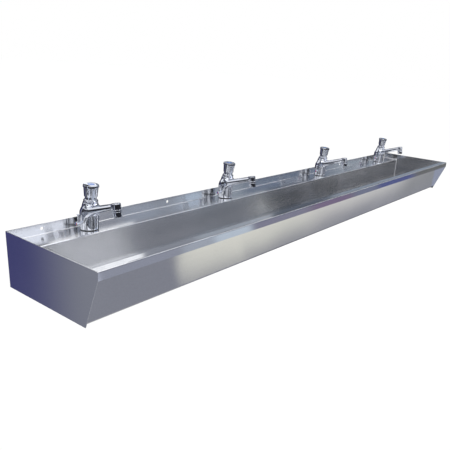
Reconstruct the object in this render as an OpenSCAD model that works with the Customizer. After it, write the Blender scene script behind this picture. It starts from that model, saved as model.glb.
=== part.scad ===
// Wall hung wash trough in satin stainless steel with four self-closing taps.
// Millimetres. X runs along the wall, Y points at the wall (the wall is the plane y = 0,
// so the trough lies at negative y), Z is up.
// The origin is on the wall plane, midway between the wall fixing holes and at their height.

/* [Trough] */
// Length over the two end panels
trough_length = 2400; // [2250:10:3000]
// Depth from the wall to the front of the lip
trough_depth = 380; // [370:5:440]
// Height of the end panels
trough_height = 158; // [152:1:190]
// Thickness of the sheet
sheet_t = 1.5; // [1.2:0.1:2]
// Height of the upstand above the tap ledge
upstand_h = 29.5; // [27:0.5:34]
// Depth of the tap ledge from the wall
ledge_depth = 85; // [80:1:92]
// Width of the flat front rim
rim_width = 26; // [22:1:34]
// Height of the turned down lip
lip_h = 23; // [18:1:28]
// How far the foot of the front wall lies behind the lip
front_foot_back = 57; // [50:1:70]
// How far the front bottom corner of an end panel lies behind the lip
panel_foot_back = 52; // [45:1:58]
// Height of the bowl's underside above the end panels' bottom edge
floor_lift = 3; // [2:0.5:6]
// Bend radius at the folds, on the sheet's middle line
fold_r = 2.5; // [2:0.5:4]
// Bend radius between the bowl's rear wall and its floor
rear_bend_r = 38; // [28:1:42]
// Bend radius between the bowl's floor and its front wall
front_bend_r = 10; // [6:1:14]
// Radius of the end panels' top front corner
panel_corner_r = 4; // [2:0.5:6]

/* [Wall fixings] */
// Diameter of the holes in the upstand
fixing_hole_d = 10; // [8:0.5:11]
// Height of the upstand's edge above the centres of its holes
fixing_drop = 13.5; // [11:0.5:15]
// Distance of the outer holes from the ends
outer_fixing_inset = 102; // [90:2:130]
// Distance of the inner holes from the ends
inner_fixing_inset = 575; // [545:5:600]

/* [Ledge supports] */
// Width of a support's flanges
support_width = 40; // [34:1:50]
// Height of a support below the ledge
support_h = 104; // [90:1:112]
// Thickness of a support's plates
support_t = 3; // [2:0.5:4]
// Diameter of the wall bolt holes in a support
support_hole_d = 9; // [7:0.5:11]
// Distance between the two wall bolt holes of a support
support_hole_pitch = 60; // [50:1:66]
// Distance of the upper bolt hole below the ledge
support_hole_drop = 26; // [20:1:30]

/* [Waste outlet] */
// Distance of the waste from the wall
waste_setback = 205; // [190:1:225]
// Diameter of the waste's flange
waste_flange_d = 84; // [76:1:92]
// Thickness of the waste's flange
waste_flange_t = 2.5; // [2:0.1:3]
// Outside diameter of the waste's threaded tail
waste_tail_d = 47.8; // [42:0.2:49]
// Wall of the tail
waste_tail_wall = 3; // [2:0.2:4]
// Length of the tail below the flange
waste_tail_len = 50; // [44:1:55]
// Clearance of the hole in the floor round the tail
waste_hole_clear = 1.1; // [0.5:0.1:2]
// Width of the pressed dish beyond the flange
dish_margin = 4; // [2:0.5:5]
// Width of the dish's sloping side
dish_slope_w = 8; // [6:0.5:10]
// Thickness of the grid plate
waste_grid_t = 1.5; // [1:0.1:2]
// Diameter of the holes in the grid
grid_hole_d = 7; // [6:0.5:7.5]
// Radius of the ring of holes in the grid
grid_ring_r = 15; // [14:0.5:16]
// Number of holes in the ring
grid_holes = 8; // [6:1:9]
// Diameter of the grid's screw
grid_screw_d = 6; // [5:0.5:6]
// Width of the bar that the screw goes into
grid_bar_w = 11; // [9:1:12]
// Height of that bar
grid_bar_h = 7; // [6:0.5:9]
// Thickness of the rubber seals
waste_seal_t = 3; // [2:0.5:4]
// Outside diameter of the seals
waste_seal_d = 70; // [64:1:74]
// Height of the back nut
waste_nut_h = 12; // [9:1:15]
// Width of the back nut across its corners
waste_nut_d = 68; // [62:1:72]

/* [Taps] */
// Distance of a tap's middle from the wall
tap_setback = 44; // [42:0.5:48]
// Distance of the first tap from the left end
tap_1_from_left = 227; // [180:1:300]
// Distance of the second tap from the left end
tap_2_from_left = 835; // [720:1:900]
// Distance of the third tap from the right end
tap_3_from_right = 855; // [750:1:950]
// Distance of the fourth tap from the right end
tap_4_from_right = 185; // [185:1:300]
// Diameter of the foot
tap_leg_d = 50; // [47:0.5:51]
// How far the spout's shell stands proud of the foot
shell_proud = 1; // [0.5:0.1:1.5]
// Angle by which the button's axis leans forward
knob_lean = 5; // [3:0.5:6]
// Height of the button's flat top along its axis
knob_top_s = 134.5; // [133:0.5:138]
// Height of the button's skirt
knob_h = 35; // [33:0.5:35.5]
// Diameter of the button's top
knob_top_d = 45; // [43:0.5:47]
// Diameter of the foot of the button's skirt
knob_foot_d = 37; // [36.5:0.1:39]
// Diameter of the coloured disc on the button
knob_index_d = 19; // [16:0.5:22]
// Thickness of the coloured disc
knob_index_t = 1.2; // [1:0.1:1.5]
// How far the button travels
button_travel = 6; // [4:0.5:7]
// Diameter of the bonnet's neck
neck_d = 33; // [32.5:0.1:33.5]
// Diameter of the bonnet's collar
collar_d = 41; // [38:0.5:42]
// Height of the bonnet's collar
collar_h = 6; // [5:0.5:7]
// Height of the bonnet's seat along the button's axis
bonnet_seat_s = 82; // [80:0.5:83]
// Diameter of the shell's boss under the bonnet
boss_d = 44; // [43:0.5:46]
// Distance of the nozzle's middle ahead of the foot's middle
tap_reach = 118; // [112:1:130]
// Height of the spout's top edge over the nozzle
spout_end_h = 101; // [98:1:104]
// Angle by which the spout rises
spout_rise = 17; // [15:0.5:18]
// Angle by which the nozzle leans forward
nozzle_lean = 10; // [6:0.5:14]
// Diameter of the nozzle
nozzle_d = 25; // [23:0.5:27]
// Length of the nozzle's sleeve
nozzle_len = 21; // [18:0.5:24]
// Diameter of the water passage in the nozzle
nozzle_bore_d = 19; // [17:0.5:20]

/* [Mixing levers] */
// Height of the spindle above the ledge
spindle_h = 24; // [22:0.5:27]
// Diameter of the spindle
spindle_d = 10; // [9:0.5:11]
// How far the spindle stands out of the foot
spindle_out = 21; // [19:0.5:24]
// Depth of the spindle in the foot
spindle_in = 12; // [10:0.5:13]
// Length of the handle above the spindle
handle_len = 27; // [22:0.5:30]
// Diameter of the handle's foot
handle_foot_d = 5.5; // [5:0.1:6]
// Diameter of the handle's top
handle_top_d = 9; // [8:0.5:10]
// Diameter of the coloured disc on the spindle
lever_index_d = 8; // [7:0.5:8.5]
// Thickness of the coloured disc on the spindle
lever_index_t = 1; // [0.8:0.1:1.2]

/* [Tap connections] */
// Diameter of the hole in the ledge
tap_hole_d = 35; // [34:0.5:36]
// Outside diameter of the shank below the ledge
shank_d = 32; // [30:0.5:33]
// Length of the shank below the ledge
shank_len = 34; // [30:1:38]
// Thickness of the gasket and the washer
tap_washer_t = 2; // [1.5:0.1:2.5]
// Outside diameter of the washer
tap_washer_d = 46; // [44:0.5:47]
// Width of the back nut across its corners
tap_nut_d = 46; // [44:0.5:48]
// Height of the back nut
tap_nut_h = 9; // [7:0.5:11]
// Diameter of the inlet tails
tail_d = 10; // [9:0.5:10.5]
// Length of the tails below the shank
tail_len = 70; // [60:1:72]
// Distance between the two tails of a tap
tail_pitch = 13; // [12.5:0.1:13.5]
// Wall of a tail
tail_wall = 1; // [0.8:0.1:1.2]
// Angle by which a tail splays
tail_splay = 3; // [1:0.5:4]

/* [Hidden] */
$fn = 72;
over = 1;
run_gap = 0.05;
slip_gap = 0.3;
seat_gap = 0.02;
right_end = trough_length / 2;
tap_places = [
    tap_1_from_left - right_end,
    tap_2_from_left - right_end,
    right_end - tap_3_from_right,
    right_end - tap_4_from_right
];
tap_count = len(tap_places);

top_z = fixing_drop;
bottom_z = top_z - trough_height;
ledge_z = top_z - upstand_h;
half_t = sheet_t / 2;
floor_z = bottom_z + floor_lift;
pan_length = trough_length - 2 * sheet_t;
bend_steps = 8;

support_top_z = ledge_z - sheet_t;
support_depth = ledge_depth - sheet_t;
support_cut_share = 0.5;
support_slope_share = 0.35;

waste_hole_d = waste_tail_d + 2 * waste_hole_clear;
dish_depth = waste_seal_t + waste_flange_t;
waste_top_z = floor_z + sheet_t - dish_depth;
waste_under_z = floor_z - dish_depth;
waste_flange_z = waste_top_z + waste_seal_t;
waste_bore_d = waste_tail_d - 2 * waste_tail_wall;
grid_edge_gap = 0.2;
grid_lip = 2.2;
grid_seat_d = waste_bore_d + 2 * grid_lip - 2 * grid_edge_gap;
screw_head_d = 2 * grid_screw_d;
screw_head_h = grid_screw_d / 2;
thread_gap = 0.1;
waste_end_step = 0.5;
tail_step = 0.5;
tail_neck_h = 2;

leg_r = tap_leg_d / 2;
shell_r = leg_r + shell_proud;
boss_r = boss_d / 2;
knob_wall = 2;
knob_rim_h = 3;
knob_edge = 1;
knob_under_s = knob_top_s - 2 * knob_wall;
neck_top_s = knob_under_s - button_travel - knob_edge;
collar_top_s = bonnet_seat_s + collar_h;
body_bore_d = 24;
bonnet_bore_d = 24;
thread_d = 30;
thread_len = 12;
cart_d = body_bore_d - 2 * slip_gap;
cart_foot_s = 44;
cart_sink = 11;
cart_port_d = 4;
cart_port_h = 8;
cart_top_s = neck_top_s - cart_sink;
stem_d = 8;
stem_dip = 12;
spring_d = 17;
spring_wall = 2;
water_bore_d = 20;
chamber_floor = 14;
spout_bore_d = 10;
spout_half_w = nozzle_d / 2 + shell_proud;
nozzle_shell_h = 18;
nozzle_collar_h = 2;
handle_inset = 9;
aerator_t = 6;
aerator_inset = 3;
aerator_hole_d = 3;
aerator_ring_r = 5;
aerator_holes = 6;

// The crease between foot and shell, as shares of the foot's radius and of the crease's height
crease_share = [[0.16, 0], [0.2, 0.3], [0.36, 0.6], [0.64, 0.85], [1, 1]];
crease_h = 47;
// The shell's shoulder, as shares of its widening beyond the boss and of the height
shoulder_share = [[2.2, 0.2], [1.7, 0.45], [1.35, 0.62], [0.8, 0.8], [-0.1, 0.99]];

function tap_x(i) = tap_places[i];
function knob_axis_v(s) = s * cos(knob_lean);
function spout_top_v(u) = spout_end_h - (tap_reach - u) * tan(spout_rise);
function support_x(i) = (tap_x(i) + tap_x(i + 1)) / 2;

steel = "lightsteelblue";
chrome = "silver";
index_blue = "royalblue";
copper = "peru";
rubber = "dimgray";

// Middle line of a folded sheet: each corner of path is rounded with its radius.
// The result is a list of [point, normal] pairs.
function unit(v) = v / norm(v);
function left_of(v) = [-v[1], v[0]];
function turn_deg(a, b) = atan2(a[0] * b[1] - a[1] * b[0], a * b);
function bend(p, q, r, radius) =
    let (a = unit(q - p), b = unit(r - q), turn = turn_deg(a, b), side = sign(turn),
         back = radius * tan(abs(turn) / 2), centre = q - a * back + left_of(a) * radius * side)
    [for (k = [0 : bend_steps])
        let (w = turn * k / bend_steps,
             n = [left_of(a)[0] * cos(w) - left_of(a)[1] * sin(w),
                  left_of(a)[0] * sin(w) + left_of(a)[1] * cos(w)])
        [centre - n * radius * side, n]];
function middle_line(path, radii) =
    let (last = len(path) - 1, a = unit(path[1] - path[0]), b = unit(path[last] - path[last - 1]))
    concat(
        [[path[0], left_of(a)]],
        [for (i = [1 : last - 1]) each bend(path[i - 1], path[i], path[i + 1], radii[i - 1])],
        [[path[last], left_of(b)]]
    );
function sheet_outline(path, radii, t) =
    let (line = middle_line(path, radii), last = len(line) - 1)
    concat(
        [for (i = [0 : last]) line[i][0] + line[i][1] * t / 2],
        [for (i = [last : -1 : 0]) line[i][0] - line[i][1] * t / 2]
    );

// Extrudes an outline drawn as [distance from the wall, height] along X, from x0 over a length
module along_x(x0, length) {
    translate([x0, 0, 0]) rotate([90, 0, 90]) linear_extrude(length) mirror([1, 0]) children();
}

module at_tap(i) { translate([tap_x(i), -tap_setback, ledge_z]) children(); }
module at_taps() { for (i = [0 : tap_count - 1]) at_tap(i) children(); }
// Z runs up along the leaning axis of the button
module on_knob_axis() { rotate([knob_lean, 0, 0]) children(); }
// Z runs down along the nozzle's axis, from the middle of its upper end
module on_nozzle_axis() {
    translate([0, -tap_reach, spout_end_h])
        rotate([180 - nozzle_lean, 0, 0])
            children();
}
// Z runs down along a tail, from the floor of the tap's water chamber
module on_tail(side) {
    translate([side * tail_pitch / 2, 0, chamber_floor])
        rotate([0, 180 - side * tail_splay, 0])
            children();
}
module at_waste() { translate([0, -waste_setback, 0]) children(); }

module ring(outer_d, inner_d, h) {
    difference() {
        cylinder(d = outer_d, h = h);
        translate([0, 0, -over]) cylinder(d = inner_d, h = h + 2 * over);
    }
}

// The folded sheet from the upstand's edge to the lip's edge
pan_path = [
    [half_t, top_z],
    [half_t, ledge_z - half_t],
    [ledge_depth - half_t, ledge_z - half_t],
    [ledge_depth - half_t, floor_z + half_t],
    [trough_depth - front_foot_back, floor_z + half_t],
    [trough_depth - rim_width, top_z - half_t],
    [trough_depth - half_t, top_z - half_t],
    [trough_depth - half_t, top_z - lip_h]
];
pan_radii = [fold_r, fold_r, rear_bend_r, front_bend_r, fold_r, fold_r];

// The pressed dish round the waste, as [radius, height] of its middle line
dish_flat_r = waste_flange_d / 2 + dish_margin;
dish_path = [
    [waste_hole_d / 2 - over, waste_under_z + half_t],
    [dish_flat_r, waste_under_z + half_t],
    [dish_flat_r + dish_slope_w, floor_z + half_t],
    [dish_flat_r + dish_slope_w + 2 * fold_r, floor_z + half_t]
];

module trough_pan() {
    color(steel)
    difference() {
        union() {
            difference() {
                along_x(-pan_length / 2, pan_length)
                    polygon(sheet_outline(pan_path, pan_radii, sheet_t));
                at_waste() translate([0, 0, floor_z - over])
                    cylinder(r = dish_flat_r + dish_slope_w + fold_r, h = sheet_t + 2 * over);
            }
            at_waste() rotate_extrude() polygon(sheet_outline(dish_path, [fold_r, fold_r], sheet_t));
        }
        for (side = [-1, 1], inset = [outer_fixing_inset, inner_fixing_inset])
            translate([side * (trough_length / 2 - inset), over, 0])
                rotate([90, 0, 0])
                    cylinder(d = fixing_hole_d, h = sheet_t + 2 * over);
        at_taps() translate([0, 0, -sheet_t - over]) cylinder(d = tap_hole_d, h = sheet_t + 2 * over);
        at_waste() translate([0, 0, waste_under_z - over])
            cylinder(d = waste_hole_d, h = sheet_t + 2 * over);
    }
}

module panel_outline() {
    difference() {
        polygon([
            [0, bottom_z],
            [trough_depth - panel_foot_back, bottom_z],
            [trough_depth, top_z - lip_h],
            [trough_depth, top_z],
            [0, top_z]
        ]);
        translate([trough_depth - panel_corner_r, top_z - panel_corner_r])
            difference() {
                square(panel_corner_r + over);
                circle(panel_corner_r);
            }
    }
}

module left_end_panel() { color(steel) along_x(-trough_length / 2, sheet_t) panel_outline(); }
module right_end_panel() { color(steel) along_x(pan_length / 2, sheet_t) panel_outline(); }

// A gusset under the ledge, with one flange on the wall and one under the ledge.
// Its front corner is cut away round the inside of the ledge's fold.
module support(i) {
    low_z = support_top_z - support_h;
    relief = fold_r;
    color(steel)
    translate([support_x(i), 0, 0]) {
        difference() {
            along_x(-support_t / 2, support_t)
                polygon([
                    [0, support_top_z],
                    [support_depth - relief, support_top_z],
                    [support_depth, support_top_z - relief],
                    [support_depth, support_top_z - support_h * support_slope_share],
                    [support_depth * support_slope_share, low_z],
                    [0, low_z]
                ]);
            translate([-support_t, -support_depth * support_cut_share, support_top_z - support_h / 2])
                rotate([0, 90, 0])
                    cylinder(d = support_depth * support_slope_share, h = 2 * support_t);
        }
        translate([-support_width / 2, relief - support_depth, support_top_z - support_t])
            cube([support_width, support_depth - relief, support_t]);
        difference() {
            translate([-support_width / 2, -support_t, low_z])
                cube([support_width, support_t, support_h]);
            for (side = [-1, 1], k = [0, 1])
                translate([side * support_width / 4, over,
                           ledge_z - support_hole_drop - k * support_hole_pitch])
                    rotate([90, 0, 0])
                        cylinder(d = support_hole_d, h = support_t + 2 * over);
        }
    }
}
module support_left() { support(0); }
module support_centre() { support(1); }
module support_right() { support(2); }

// The waste's flange lies on its seal in the dish. Its tail is threaded down to the back nut and
// plain below it. A bar across its bore takes the grid's screw.
module waste_body() {
    thread_h = waste_flange_z - waste_under_z + waste_seal_t + waste_nut_h;
    color(chrome)
    at_waste()
        translate([0, 0, waste_flange_z])
            difference() {
                union() {
                    difference() {
                        union() {
                            cylinder(d = waste_flange_d, h = waste_flange_t);
                            translate([0, 0, -thread_h]) cylinder(d = waste_tail_d, h = thread_h);
                            translate([0, 0, -waste_tail_len])
                                cylinder(d = waste_tail_d - 2 * waste_end_step, h = waste_tail_len);
                        }
                        translate([0, 0, -waste_tail_len - over])
                            cylinder(d = waste_bore_d, h = waste_tail_len + waste_flange_t + 2 * over);
                    }
                    translate([-waste_bore_d / 2 - over, -grid_bar_w / 2, -grid_bar_h])
                        cube([waste_bore_d + 2 * over, grid_bar_w, grid_bar_h + over]);
                }
                translate([0, 0, waste_flange_t - waste_grid_t])
                    cylinder(d = grid_seat_d + 2 * grid_edge_gap, h = waste_grid_t + over);
                translate([0, 0, -grid_bar_h - over])
                    cylinder(d = grid_screw_d + 2 * thread_gap, h = grid_bar_h + 3 * over);
            }
}

module waste_grid() {
    color(steel)
    at_waste()
        translate([0, 0, waste_flange_z + waste_flange_t - waste_grid_t])
            difference() {
                cylinder(d = grid_seat_d, h = waste_grid_t);
                translate([0, 0, -over])
                    cylinder(d = grid_screw_d + 2 * thread_gap, h = waste_grid_t + 2 * over);
                for (k = [0 : grid_holes - 1])
                    rotate([0, 0, k * 360 / grid_holes])
                        translate([grid_ring_r, 0, -over])
                            cylinder(d = grid_hole_d, h = waste_grid_t + 2 * over);
            }
}

module waste_grid_screw() {
    color(chrome)
    at_waste()
        translate([0, 0, waste_flange_z + waste_flange_t]) {
            difference() {
                cylinder(d = screw_head_d, h = screw_head_h);
                translate([-screw_head_d, -screw_head_h / 4, screw_head_h / 2])
                    cube([2 * screw_head_d, screw_head_h / 2, screw_head_h]);
            }
            translate([0, 0, -waste_flange_t - grid_bar_h])
                cylinder(d = grid_screw_d, h = waste_flange_t + grid_bar_h);
        }
}

module waste_upper_seal() {
    color(rubber)
    at_waste() translate([0, 0, waste_top_z])
        ring(waste_seal_d, waste_tail_d + 2 * slip_gap, waste_seal_t);
}

module waste_lower_seal() {
    color(rubber)
    at_waste() translate([0, 0, waste_under_z - waste_seal_t])
        ring(waste_seal_d, waste_tail_d + 2 * slip_gap, waste_seal_t);
}

module waste_back_nut() {
    color(chrome)
    at_waste() translate([0, 0, waste_under_z - waste_seal_t - waste_nut_h])
        difference() {
            cylinder(d = waste_nut_d, h = waste_nut_h, $fn = 6);
            translate([0, 0, -over])
                cylinder(d = waste_tail_d + 2 * thread_gap, h = waste_nut_h + 2 * over);
        }
}

// Side outlines as [ahead of the foot's middle, height above the ledge]: the shell over the
// foot, and the spout
shell_top_v = knob_axis_v(bonnet_seat_s) + boss_r;
crease_side = [for (p = crease_share) [p[0] * leg_r, tap_washer_t + p[1] * (crease_h - tap_washer_t)]];
shell_side = concat(
    [[-shell_r, tap_washer_t], [-shell_r, shell_top_v], [shell_r, shell_top_v]],
    [for (k = [len(crease_side) - 1 : -1 : 0]) crease_side[k] + [shell_proud, 0]]
);
spout_foot_s = nozzle_shell_h - nozzle_collar_h;
spout_foot = [tap_reach + spout_foot_s * sin(nozzle_lean), spout_end_h - spout_foot_s * cos(nozzle_lean)];
spout_side = [
    [0, spout_top_v(0)],
    [tap_reach, spout_end_h],
    spout_foot,
    spout_foot - [cos(nozzle_lean), sin(nozzle_lean)] * nozzle_d / 2,
    [leg_r, crease_h],
    [0, crease_h]
];

module spout_plan() {
    slope = asin((shell_r - spout_half_w) / tap_reach);
    circle(shell_r);
    translate([0, -tap_reach]) circle(spout_half_w);
    polygon([
        [shell_r * cos(slope), -shell_r * sin(slope)],
        [spout_half_w * cos(slope), -tap_reach - spout_half_w * sin(slope)],
        [-spout_half_w * cos(slope), -tap_reach - spout_half_w * sin(slope)],
        [-shell_r * cos(slope), -shell_r * sin(slope)]
    ]);
}

// Round shoulder that narrows to the boss along the button's axis
module shoulder() {
    widen = shell_r - boss_r;
    on_knob_axis() rotate_extrude() polygon(concat(
        [[0, -shell_r], [boss_r + widen * shoulder_share[0][0], -shell_r]],
        [for (p = shoulder_share) [boss_r + widen * p[0], bonnet_seat_s * p[1]]],
        [[0, bonnet_seat_s * shoulder_share[len(shoulder_share) - 1][1]]]
    ));
}

module tap_shell() {
    intersection() {
        along_x(-shell_r - over, 2 * shell_r + 2 * over) polygon(shell_side);
        cylinder(r = shell_r, h = shell_top_v);
        shoulder();
    }
    intersection() {
        along_x(-shell_r - over, 2 * shell_r + 2 * over) polygon(spout_side);
        linear_extrude(spout_end_h + over) spout_plan();
    }
}

// The casting: foot, shell and spout in one, with the threaded shank below the ledge. It is cut
// back above the bonnet's seat, where the bonnet and the button stand.
module tap_body(i) {
    color(chrome)
    at_tap(i)
        difference() {
            union() {
                translate([0, 0, tap_washer_t]) cylinder(r = leg_r, h = crease_h - tap_washer_t);
                tap_shell();
                on_knob_axis() translate([0, 0, crease_h - over])
                    cylinder(r = boss_r, h = bonnet_seat_s - crease_h + over);
                on_nozzle_axis() cylinder(d = nozzle_d + shell_proud, h = nozzle_shell_h);
                translate([0, 0, -shank_len]) cylinder(d = shank_d, h = shank_len + tap_washer_t);
            }
            on_knob_axis() translate([0, 0, cart_foot_s])
                cylinder(d = body_bore_d, h = bonnet_seat_s - cart_foot_s + over);
            on_knob_axis() translate([0, 0, bonnet_seat_s - thread_len])
                cylinder(d = thread_d + 2 * thread_gap, h = thread_len + over);
            translate([0, 0, chamber_floor]) cylinder(d = water_bore_d, h = cart_foot_s - chamber_floor);
            for (side = [-1, 1])
                on_tail(side) translate([0, 0, -over])
                    cylinder(d = tail_d + 2 * tail_step + 2 * thread_gap,
                             h = chamber_floor + shank_len + 3 * over);
            translate([0, -tap_reach, spout_end_h - nozzle_shell_h / 2 - shell_proud])
                rotate([-90 - spout_rise, 0, 0])
                    cylinder(d = spout_bore_d, h = (tap_reach - body_bore_d / 2) / cos(spout_rise));
            on_nozzle_axis() translate([0, 0, nozzle_shell_h / 2])
                cylinder(d = nozzle_bore_d, h = nozzle_shell_h);
            translate([-shell_r - over, 0, spindle_h]) rotate([0, 90, 0])
                cylinder(d = spindle_d + 2 * run_gap, h = shell_proud + spindle_in + over);
            on_knob_axis() translate([0, 0, bonnet_seat_s])
                cylinder(d = knob_top_d + 2 * slip_gap, h = knob_top_s - bonnet_seat_s);
        }
}

module tap_bonnet(i) {
    color(chrome)
    at_tap(i) on_knob_axis()
        rotate_extrude()
            polygon([
                [bonnet_bore_d / 2, bonnet_seat_s - thread_len],
                [thread_d / 2, bonnet_seat_s - thread_len],
                [thread_d / 2, bonnet_seat_s],
                [collar_d / 2, bonnet_seat_s],
                [collar_d / 2, collar_top_s - knob_edge],
                [collar_d / 2 - knob_edge, collar_top_s],
                [neck_d / 2, collar_top_s + knob_edge],
                [neck_d / 2, neck_top_s],
                [bonnet_bore_d / 2, neck_top_s]
            ]);
}

module tap_cartridge(i) {
    color("khaki")
    at_tap(i) on_knob_axis()
        difference() {
            translate([0, 0, cart_foot_s]) cylinder(d = cart_d, h = cart_top_s - cart_foot_s);
            translate([0, 0, cart_top_s - stem_dip - button_travel - over])
                cylinder(d = stem_d + 2 * run_gap, h = stem_dip + button_travel + 2 * over);
            for (k = [0 : 3])
                rotate([0, 0, 45 + 90 * k])
                    translate([0, 0, cart_foot_s + cart_port_h])
                        rotate([0, 90, 0])
                            cylinder(d = cart_port_d, h = cart_d);
        }
}

module tap_spring(i) {
    color("gray")
    at_tap(i) on_knob_axis()
        translate([0, 0, cart_top_s])
            ring(spring_d, spring_d - 2 * spring_wall, knob_under_s - cart_top_s);
}

// A cap whose skirt slides down over the bonnet's neck, with the stem in its middle
module tap_button(i) {
    top = knob_top_s;
    foot = knob_top_s - knob_h;
    skirt_bore = neck_d / 2 + slip_gap;
    color(chrome)
    at_tap(i) on_knob_axis()
        rotate_extrude()
            polygon([
                [0, cart_top_s - stem_dip],
                [stem_d / 2, cart_top_s - stem_dip],
                [stem_d / 2, knob_under_s],
                [skirt_bore, knob_under_s],
                [skirt_bore, foot],
                [knob_foot_d / 2, foot],
                [knob_top_d / 2, top - knob_rim_h],
                [knob_top_d / 2, top - knob_edge],
                [knob_top_d / 2 - knob_edge, top],
                [knob_index_d / 2 + seat_gap, top],
                [knob_index_d / 2 + seat_gap, top - knob_index_t],
                [0, top - knob_index_t]
            ]);
}

module tap_button_index(i) {
    color(index_blue)
    at_tap(i) on_knob_axis()
        translate([0, 0, knob_top_s - knob_index_t]) cylinder(d = knob_index_d, h = knob_index_t);
}

// The sleeve screwed under the spout's end, open below
module tap_nozzle(i) {
    color(chrome)
    at_tap(i) on_nozzle_axis()
        translate([0, 0, nozzle_shell_h])
            ring(nozzle_d, nozzle_bore_d, nozzle_len);
}

module tap_aerators() {
    color("whitesmoke")
    at_taps() on_nozzle_axis()
        translate([0, 0, nozzle_shell_h + nozzle_len - aerator_t - aerator_inset])
            difference() {
                cylinder(d = nozzle_bore_d - 2 * thread_gap, h = aerator_t);
                for (k = [0 : aerator_holes - 1])
                    rotate([0, 0, k * 360 / aerator_holes])
                        translate([aerator_ring_r, 0, -over])
                            cylinder(d = aerator_hole_d, h = aerator_t + 2 * over);
            }
}

module tap_lever_spindle(i) {
    color(chrome)
    at_tap(i)
        translate([-leg_r - spindle_out, 0, spindle_h]) rotate([0, 90, 0])
            difference() {
                cylinder(d = spindle_d, h = spindle_out + spindle_in);
                translate([0, 0, -over]) cylinder(d = lever_index_d + 2 * seat_gap, h = lever_index_t + over);
            }
}

module tap_lever_handle(i) {
    stand_x = -leg_r - spindle_out + handle_inset;
    color(chrome)
    at_tap(i)
        difference() {
            translate([stand_x, 0, spindle_h])
                cylinder(d1 = handle_foot_d, d2 = handle_top_d, h = handle_len);
            translate([-leg_r - spindle_out, 0, spindle_h]) rotate([0, 90, 0])
                cylinder(d = spindle_d, h = spindle_out + spindle_in);
        }
}

module tap_lever_index(i) {
    color(index_blue)
    at_tap(i)
        translate([-leg_r - spindle_out, 0, spindle_h]) rotate([0, 90, 0])
            cylinder(d = lever_index_d, h = lever_index_t);
}

module tap_gaskets() {
    color(rubber)
    at_taps() ring(tap_leg_d - 2 * shell_proud, shank_d + 2 * slip_gap, tap_washer_t);
}

module tap_washers() {
    color(chrome)
    at_taps() translate([0, 0, -sheet_t - tap_washer_t])
        ring(tap_washer_d, shank_d + 2 * slip_gap, tap_washer_t);
}

module tap_back_nuts() {
    color("goldenrod")
    at_taps() translate([0, 0, -sheet_t - tap_washer_t - tap_nut_h])
        difference() {
            cylinder(d = tap_nut_d, h = tap_nut_h, $fn = 6);
            translate([0, 0, -over]) cylinder(d = shank_d + 2 * thread_gap, h = tap_nut_h + 2 * over);
        }
}

// A tail's upper end, screwed into the shank, is thicker than the rest
module tail(side) {
    color(copper)
    at_taps() on_tail(side)
        difference() {
            union() {
                cylinder(d = tail_d, h = chamber_floor + shank_len + tail_len);
                cylinder(d = tail_d + 2 * tail_step, h = chamber_floor + shank_len + tail_neck_h);
            }
            translate([0, 0, -over])
                cylinder(d = tail_d - 2 * tail_wall, h = chamber_floor + shank_len + tail_len + 2 * over);
        }
}
module tap_hot_tails() { tail(-1); }
module tap_cold_tails() { tail(1); }

trough_pan();
left_end_panel();
right_end_panel();
support_left();
support_centre();
support_right();
waste_body();
waste_grid();
waste_grid_screw();
waste_upper_seal();
waste_lower_seal();
waste_back_nut();
tap_gaskets();
tap_washers();
tap_back_nuts();
tap_hot_tails();
tap_cold_tails();
tap_aerators();
for (i = [0 : tap_count - 1]) {
    tap_body(i);
    tap_bonnet(i);
    tap_cartridge(i);
    tap_spring(i);
    tap_button(i);
    tap_button_index(i);
    tap_nozzle(i);
    tap_lever_spindle(i);
    tap_lever_handle(i);
    tap_lever_index(i);
}
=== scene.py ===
import math

import bmesh
import bpy
import numpy as np
from mathutils import Matrix, Vector


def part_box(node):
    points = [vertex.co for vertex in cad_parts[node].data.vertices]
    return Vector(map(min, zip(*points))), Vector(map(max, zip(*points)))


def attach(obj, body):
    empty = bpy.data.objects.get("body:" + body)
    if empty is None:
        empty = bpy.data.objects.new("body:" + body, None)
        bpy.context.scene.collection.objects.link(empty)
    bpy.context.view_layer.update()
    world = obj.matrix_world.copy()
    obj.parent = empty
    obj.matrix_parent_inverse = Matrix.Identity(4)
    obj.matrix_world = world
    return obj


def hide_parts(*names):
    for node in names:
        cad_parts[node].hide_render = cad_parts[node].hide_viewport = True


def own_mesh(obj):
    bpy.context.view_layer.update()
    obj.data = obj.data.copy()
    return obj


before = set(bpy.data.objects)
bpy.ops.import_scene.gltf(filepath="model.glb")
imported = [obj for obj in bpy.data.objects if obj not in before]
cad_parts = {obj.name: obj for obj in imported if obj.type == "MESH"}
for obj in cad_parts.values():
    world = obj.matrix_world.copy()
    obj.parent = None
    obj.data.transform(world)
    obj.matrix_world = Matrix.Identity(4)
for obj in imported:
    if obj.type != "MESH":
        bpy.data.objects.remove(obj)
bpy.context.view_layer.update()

# Lengths below are in millimetres, as in the CAD model. MM turns them into Blender's metres.
# The wall is at y = 0, the front is towards -Y, and the trough runs along X about its middle.
MM = 0.001
TAPS = (1, 2, 3, 4)
TROUGH_LENGTH = 2400
TROUGH_DEPTH = 380
SHEET = 1.5
HALF = SHEET / 2
TOP_Z = 13.5
BOTTOM_Z = -144.5
LEDGE_Z = -16
FLOOR_Z = -141.5
LIP_H = 23
PANEL_FOOT = 328
TAP_Y = -44
KNOB_LEAN = math.radians(5)
TAP_X = {n: sum(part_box(f"tap_{n}_button")[k].x for k in (0, 1)) / 2 / MM for n in TAPS}


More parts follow.
